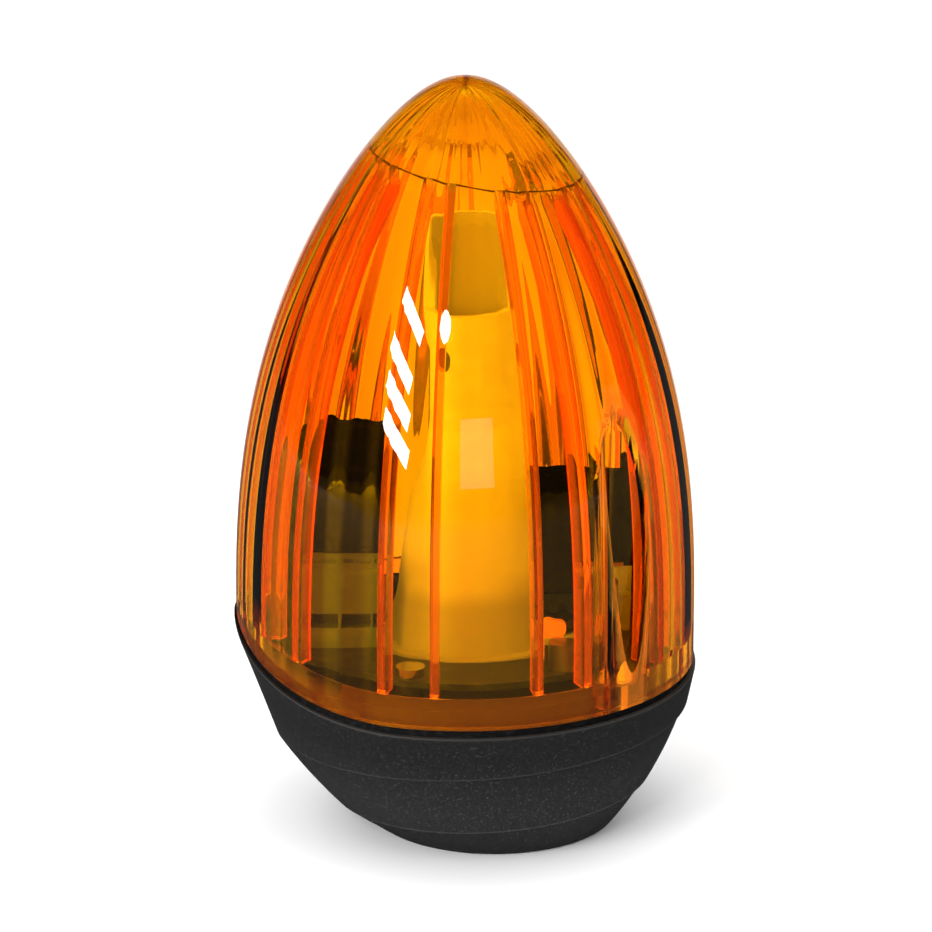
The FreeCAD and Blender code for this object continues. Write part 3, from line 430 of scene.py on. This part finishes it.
# Partition and its wings: a black plate that stands behind the tower, moulded with two screwed tabs,
# and a curved black sheet on the deck at each side of it, which follows the lens inside the ribs.
black_panel = moulded("black_panel", (0.003, 0.003, 0.003), (0.01, 0.01, 0.01),
                      700.0, 0.5, (0.35, 0.5), 0.2, specular=0.0)
finish_nodes(["partition"], black_panel)

LENS_RADIUS, LENS_BELLY, LENS_TOP, LENS_WALL, RIB_DEPTH = 0.0554, 0.054, 0.1846, 0.0026, 0.005
EGG_TAPER, EGG_FULLNESS = 0.528, 2.42
DECK_LEVEL, WING_GAP, WING_THICKNESS = 0.0446, 0.0012, 0.003
SHARP_ANGLE = math.radians(35.0)


def egg_radius(z, depth):
    """Radius of the egg's skin at a level, the skin lying a depth d inside the outer one:
    r^2 = (R - d)^2 (1 - p)(1 - taper p), p = t^fullness, t the share of the way from belly to top."""
    share = np.clip((z - LENS_BELLY) / (LENS_TOP - depth - LENS_BELLY), 0.0, 1.0) ** EGG_FULLNESS
    return (LENS_RADIUS - depth) * np.sqrt(np.maximum((1.0 - share) * (1.0 - EGG_TAPER * share), 0.0))


def curved_wing(first, last, top):
    """A sheet that curves along the lens between two angles: its outer face keeps a gap inside the
    ribs, r = egg radius at that depth, and its inner face lies one thickness further in."""
    z = np.linspace(DECK_LEVEL, top, 13)
    outer = egg_radius(z, LENS_WALL + RIB_DEPTH + WING_GAP)
    r = np.concatenate([outer, (outer - WING_THICKNESS)[::-1]])
    angle = np.radians(np.linspace(first, last, 25))[:, None]
    level = np.broadcast_to(np.concatenate([z, z[::-1]]), (angle.size, r.size))
    points = np.stack([r * np.cos(angle), r * np.sin(angle), level], axis=-1)
    index = np.arange(level.size).reshape(level.shape)
    return points.reshape(-1, 3), grid_faces(index) + [index[0].tolist(), index[-1, ::-1].tolist()]


for name, first, last, top in (("partition_wing_left", 144.5, 192.0, 0.092),
                               ("partition_wing_right", -8.0, 35.5, 0.084)):
    wing = mesh_piece(name, *curved_wing(first, last, top), black_panel)
    wing.data.set_sharp_from_angle(angle=SHARP_ANGLE)
    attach(wing, "base")


# Lens: an egg of clear amber polycarbonate with ribs inside, injection moulded through the nub at
# its top, and screwed down through two leaning wells. Light is coloured by the thickness it passes,
# so ribs and edges look redder.
amber_lens, lens_tree, shader = new_material("amber_lens")
lens_place = add_node(lens_tree, "TexCoord").outputs["Object"]
lens_axes = axes(lens_tree)
meridian = maths(lens_tree, "ARCTAN2", lens_axes["Y"], lens_axes["X"])
solid_share, inner_skin = (add_node(lens_tree, "Attribute", attribute_name=name).outputs["Fac"]
                           for name in ("solid_share", "inner_skin"))
# Painted shade: darker red streaks along the meridians of the inner skin, standing in for the ribs behind
# seen through the wall.
flutes, streaks = (add_node(lens_tree, "TexNoise", {"W": meridian, "Scale": scale, "Detail": 0.0},
                            noise_dimensions="1D").outputs["Fac"] for scale in (10.0, 6.0))
painted_streak_share = maths(lens_tree, "MULTIPLY", ranged(lens_tree, streaks, 0.47, 0.66, soft=False), inner_skin)
amber_hue = blend(lens_tree, solid_share, (1.0, 0.62, 0.06), (0.92, 0.23, 0.012))
painted_streak_hue = blend(lens_tree, painted_streak_share, amber_hue, (0.74, 0.22, 0.006))
ripple = add_node(lens_tree, "TexNoise", {"Vector": lens_place, "Scale": 60.0}).outputs["Fac"]
waves = add_node(lens_tree, "Bump", {"Height": maths(lens_tree, "MULTIPLY", flutes, inner_skin),
                                     "Strength": 1.0, "Distance": 0.0004})
feed(lens_tree, shader, {"Base Color": painted_streak_hue, "IOR": 1.56, "Transmission Weight": 1.0,
                         "Roughness": ranged(lens_tree, ripple, 0.0, 1.0, 0.0, 0.02, soft=False),
                         "Normal": waves.outputs["Normal"]})
cloud = add_node(lens_tree, "BsdfDiffuse", {"Color": painted_streak_hue})
clouded = blend_shaders(lens_tree, maths(lens_tree, "MULTIPLY", solid_share, 0.2), shader, cloud)
clear = add_node(lens_tree, "BsdfTransparent")
shadow_ray = add_node(lens_tree, "LightPath").outputs["Is Shadow Ray"]
either_lens = blend_shaders(lens_tree, shadow_ray, clouded, clear)
tint = add_node(lens_tree, "VolumeAbsorption", {"Color": (0.992, 0.945, 0.3, 1.0), "Density": 880.0})
feed(lens_tree, lens_tree.nodes["Material Output"],
     {"Surface": either_lens.outputs["Shader"], "Volume": tint.outputs["Volume"]})

RIB_PAIRS, RIB_PAIR_ANGLE, FIRST_PAIR = 9, math.radians(13.6), math.radians(255.5)
RIB_HALF, RIB_FADE, RIB_END, FLATNESS = 0.0009, 0.005, 0.25, 0.7
EDGE_SHIFT, RING_HEIGHT, RING_DEPTH, SOFT_EDGE = 0.0019, 0.0068, 0.0016, 0.0003
CAP_LEVEL, CAP_SLOPE, CAP_LINE, CAP_STEP, CAP_FOLD = 0.1637, 0.148, 0.0005, 0.0015, 0.00012
INNER_PEAK = LENS_TOP - LENS_WALL - CAP_STEP
NUB_RADII, NUB_RISES, NUB_TOP = (0.0010, 0.0018, 0.0022), (0.00002, -0.00009, -0.00017), 0.00005


def soft_step(x, low, high):
    """A smooth rise from 0 to 1 between two values: 3 s^2 - 2 s^3."""
    share = np.clip((x - low) / (high - low), 0.0, 1.0)
    return share * share * (3.0 - 2.0 * share)


def rib_columns(radius):
    """Angles of the grid's columns at a radius: across each rib at set offsets in metres, which
    become angles s / r, and evenly over each panel between two ribs. Also each column's offset, and
    the share by which a flat panel lies nearer the axis: 1 - cos(h) / cos(h u), u from -1 to 1."""
    one_side = np.array([0.9, 0.94, 1.0, 1.06, 1.1, 1.5])
    across = RIB_HALF * np.concatenate([-one_side[::-1], [0.0], one_side])
    pairs = FIRST_PAIR + 2.0 * math.pi / RIB_PAIRS * np.arange(RIB_PAIRS)[:, None]
    middles = (pairs + RIB_PAIR_ANGLE * np.array([-0.5, 0.5])).ravel()
    following = np.append(middles[1:], middles[0] + 2.0 * math.pi)
    angles, offsets, sags = [], [], []
    reach = across[-1] / radius
    for rib, (middle, after) in enumerate(zip(middles, following)):
        angles.append(middle + across / radius[..., None])
        offsets.append(np.broadcast_to(across, angles[-1].shape))
        sags.append(np.zeros(angles[-1].shape))
        shares = np.linspace(0.0, 1.0, 8 if rib % 2 == 0 else 14)[1:-1]
        start, end = middle + reach, after - reach
        angles.append(start[..., None] + (end - start)[..., None] * shares)
        offsets.append(np.full(angles[-1].shape, 1.0))
        half = 0.5 * (end - start)[..., None]
        sags.append(1.0 - np.cos(half) / np.cos(half * (2.0 * shares - 1.0)))
    return [np.concatenate(rows, axis=-1) for rows in (angles, offsets, sags)]


def outer_rows(angle):
    """Radii and levels of the outer skin from the moulding nub down to the edge: the egg's radius at
    z = edge + (top - edge)(1 - s^2), with s going evenly to 1 at the edge."""
    edge = parting_level(LENS_RADIUS * np.cos(angle)) + EDGE_SHIFT
    fall = 1.0 - np.linspace(1.0, 0.0388, 60)[:, None] ** 2
    egg_z = (edge + (LENS_TOP - edge) * fall)[::-1]
    nub_r = np.tile(np.array(NUB_RADII)[:, None], angle.size)
    nub_z = np.tile(np.array(NUB_RISES)[:, None] + LENS_TOP, angle.size)
    return np.concatenate([nub_r, egg_radius(egg_z, 0.0)]), np.concatenate([nub_z, egg_z])


def inner_rows(angle):
    """Angles, radii and levels of the inner skin, from ring to panels to cap. Its depth under the outer
    skin is ring depth, then rib depth times the rib's profile, which falls off towards the cap, then cap
    step with shallow folds, each blended over the soft edge. The cap's line is z = level - slope x."""
    low = parting_level((LENS_RADIUS - LENS_WALL - RING_DEPTH) * np.cos(angle)) + EDGE_SHIFT
    ring = parting_level((LENS_RADIUS - LENS_WALL) * np.cos(angle)) + EDGE_SHIFT + RING_HEIGHT
    cap = np.full(ring.shape, CAP_LEVEL)
    for _ in range(12):
        cap = CAP_LEVEL - CAP_SLOPE * egg_radius(cap, LENS_WALL) * np.cos(angle)
    panel_low, panel_high = ring + SOFT_EDGE, cap - SOFT_EDGE
    blend_rows = np.array([0.0, 0.15, 0.3, 0.5, 0.7, 0.85, 1.0])[:, None] * SOFT_EDGE
    panel_rows = np.linspace(0.0, 1.0, 38)[1:-1, None]
    cap_rows = 1.0 - np.linspace(1.0, 0.03, 18)[1:, None] ** 2
    z = np.concatenate([low + (ring - low) * np.array([0.0, 0.5])[:, None],
                        ring + blend_rows,
                        panel_low + (panel_high - panel_low) * panel_rows,
                        panel_high + blend_rows,
                        cap + (INNER_PEAK - cap) * cap_rows])
    column_radius = egg_radius(np.minimum(z, cap), LENS_WALL + 0.5 * RIB_DEPTH)
    columns, offsets, sags = rib_columns(np.maximum(column_radius[:, 0], 0.012))
    rib = 1.0 - soft_step(np.abs(offsets), 0.9 * RIB_HALF, 1.1 * RIB_HALF)
    rib_end = 1.0 - (1.0 - RIB_END) * soft_step(z, panel_high - RIB_FADE, panel_high)
    panel_depth = LENS_WALL + RIB_DEPTH * rib * rib_end + FLATNESS * sags * column_radius
    ring_depth = LENS_WALL + RING_DEPTH
    depth = ring_depth + (panel_depth - ring_depth) * soft_step(z, ring, panel_low)
    climb = (z - cap) / (INNER_PEAK - cap)
    folds = soft_step(climb, 0.0, 0.3) * (1.0 - soft_step(climb, 0.75, 0.98))
    cap_depth = LENS_WALL + CAP_LINE + (CAP_STEP - CAP_LINE) * soft_step(z, cap, INNER_PEAK)
    cap_depth = cap_depth + CAP_FOLD * folds * (1.0 + np.cos(RIB_PAIRS * columns))
    depth = depth + (cap_depth - depth) * soft_step(z, panel_high, cap)
    return columns, egg_radius(z, depth), z


def lens_grid():
    """The lens as one closed grid: the outer skin's rows from the nub down to the edge, then the inner
    skin's rows up to its peak, with a pole at each end. The columns follow the ribs."""
    columns = rib_columns(np.array(LENS_RADIUS - LENS_WALL))[0]
    outer_r, outer_z = outer_rows(columns)
    inner_angle, inner_r, inner_z = inner_rows(columns)
    angle = np.concatenate([np.broadcast_to(columns, outer_r.shape), inner_angle])
    r, z = np.concatenate([outer_r, inner_r]), np.concatenate([outer_z, inner_z])
    points = np.stack([r * np.cos(angle), r * np.sin(angle), z], axis=-1).reshape(-1, 3)
    poles = np.array([[0.0, 0.0, LENS_TOP + NUB_TOP], [0.0, 0.0, INNER_PEAK]])
    index = np.arange(angle.size).reshape(angle.shape)
    after = np.roll(index, -1, axis=1)
    pole = np.full(columns.size, angle.size)
    fans = np.concatenate([np.stack([pole, index[0], after[0]], axis=-1),
                           np.stack([pole + 1, after[-1], index[-1]], axis=-1)])
    return np.concatenate([points, poles]), grid_faces(index) + fans.tolist()


LENS_SCREW_ANGLES, SCREW_CIRCLE = (-44.5, 135.5), 0.0502
WELL_FLOOR, WELL_TOP, WELL_RADIUS = 0.047, 0.128, 0.0048
WELL_LEAN, WELL_DRAFT = math.tan(math.radians(5.5)), math.tan(math.radians(2.5))
BOSS_RADIUS, BOSS_LIMIT, BOSS_START, BOSS_STEP = 0.0068, 0.992, 0.0002, 0.0001
SEAT_RADIUS, SEAT_TOP = 0.0042, 0.0504
BORE_RADIUS, BORE_LOW, BORE_TOP = 0.00158, 0.0385, 0.0475


def leaning_tube(angle, radius, levels, lean=0.0, draft=0.0, limit=None):
    """A closed tube round a lens screw: at height h over the well's floor its circle has the radius
    r + h draft, and its centre lies h lean further out; points beyond a share of the egg's radius are
    drawn in."""
    level = np.asarray(levels)[:, None]
    h = np.maximum(level - WELL_FLOOR, 0.0)
    around = np.linspace(0.0, 2.0 * math.pi, 49)[:-1]
    r = radius + h * draft
    out = SCREW_CIRCLE + h * lean + r * np.cos(around)
    side = r * np.sin(around)
    z = np.broadcast_to(level, out.shape)
    if limit is not None:
        shrink = np.minimum(1.0, limit * egg_radius(z, 0.0) / np.hypot(out, side))
        out, side = out * shrink, side * shrink
    turn = math.radians(angle)
    points = np.stack([out * math.cos(turn) - side * math.sin(turn),
                       out * math.sin(turn) + side * math.cos(turn), z], axis=-1)
    index = np.arange(out.size).reshape(out.shape)
    ends = [index[0, ::-1].tolist(), index[-1].tolist()]
    return points.reshape(-1, 3), grid_faces(index, turned=True) + ends


def carve(target, operation, tool):
    """Join a tool to a piece or take it away, and keep the result as the piece's own mesh."""
    step = target.modifiers.new("carve", "BOOLEAN")
    step.operation = operation
    step.solver = "EXACT"
    step.object = tool
    ready = bpy.context.evaluated_depsgraph_get()
    made = bpy.data.meshes.new_from_object(target.evaluated_get(ready))
    target.modifiers.remove(step)
    target.data = made
    bpy.data.objects.remove(tool)


WELL_REACH, WELL_FOOT, RIM_WIDTH, RIM_DEPTH = 0.0024, 0.0002, 0.0012, 0.0005


def lens_shares(points):
    """Two shares at each point of the lens. Solid is where the plastic is redder: fully on the ribs,
    half in the ring, less in the cap, and in the wells only at the foot and along the rim. Inner is
    where the inner skin's flutes and painted shade streaks show: fully at the sides, less in the middle
    and in the cap, and not in the wells. Depth is the wall's thickness times the share of it that is sunk."""
    x, y, z = points.T
    sunk = egg_radius(z, 0.0) - np.hypot(x, y)
    capped = soft_step(z + CAP_SLOPE * x, 0.160, 0.164)
    fluted = 0.2 + 0.8 * soft_step(np.abs(x), 0.012, 0.03)
    inner = soft_step(sunk, 0.0004, 0.0008) * (fluted + (0.45 - fluted) * capped)
    wall_width = egg_radius(z, 0.0) - egg_radius(z, LENS_WALL)
    depth = LENS_WALL * sunk / np.maximum(wall_width, 1e-5)
    ring_top = parting_level(x) + EDGE_SHIFT + RING_HEIGHT
    in_ring = soft_step(depth, 0.001, 0.002) * (z < ring_top + 0.0001)
    in_rib = soft_step(depth, 0.0042, 0.0058) * (1.0 - capped)
    solid = np.maximum.reduce([in_rib, 0.5 * in_ring, 0.3 * capped * (sunk > 0.001)])
    climb = np.maximum(z - WELL_FLOOR, 0.0)
    for angle in LENS_SCREW_ANGLES:
        turn = math.radians(angle)
        out = x * math.cos(turn) + y * math.sin(turn)
        side = y * math.cos(turn) - x * math.sin(turn)
        apart = np.hypot(out - SCREW_CIRCLE - climb * WELL_LEAN, side)
        apart -= WELL_RADIUS + climb * WELL_DRAFT
        in_well = apart < WELL_REACH
        on_rim = (apart < RIM_WIDTH) & (sunk < RIM_DEPTH)
        solid = np.where(in_well, np.where(z > WELL_FLOOR + WELL_FOOT, 0.0, 0.25), solid)
        solid = np.where(on_rim, 0.8, solid)
        inner = np.where(in_well, 0.0, inner)
    return {"solid_share": solid, "inner_skin": inner}


lens_cover = mesh_piece("lens_cover", *lens_grid(), amber_lens)
for number, angle in enumerate(LENS_SCREW_ANGLES, 1):
    well_levels = np.linspace(WELL_FLOOR, WELL_TOP, 28)
    ring_floor = parting_level(SCREW_CIRCLE * math.cos(math.radians(angle))) + EDGE_SHIFT
    boss_foot = np.linspace(ring_floor + BOSS_START, WELL_FLOOR - BOSS_STEP, 3)
    boss_levels = np.concatenate([boss_foot, well_levels])
    for operation, tube in (
            ("UNION", leaning_tube(angle, BOSS_RADIUS, boss_levels, WELL_LEAN, WELL_DRAFT, BOSS_LIMIT)),
            ("DIFFERENCE", leaning_tube(angle, WELL_RADIUS, well_levels, WELL_LEAN, WELL_DRAFT)),
            ("DIFFERENCE", leaning_tube(angle, SEAT_RADIUS, (WELL_FLOOR, SEAT_TOP))),
            ("DIFFERENCE", leaning_tube(angle, BORE_RADIUS, (BORE_LOW, BORE_TOP)))):
        carve(lens_cover, operation, mesh_piece(f"lens_tool_{number}", *tube, amber_lens))
lens_cover.data.shade_smooth()
lens_cover.data.set_sharp_from_angle(angle=SHARP_ANGLE)
skin_points = np.empty(len(lens_cover.data.vertices) * 3, dtype=np.float32)
lens_cover.data.vertices.foreach_get("co", skin_points)
for name, share in lens_shares(skin_points.reshape(-1, 3)).items():
    attribute = lens_cover.data.attributes.new(name, "FLOAT", "POINT")
    attribute.data.foreach_set("value", share.astype(np.float32))
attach(lens_cover, "lens_cover")
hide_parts("lens")
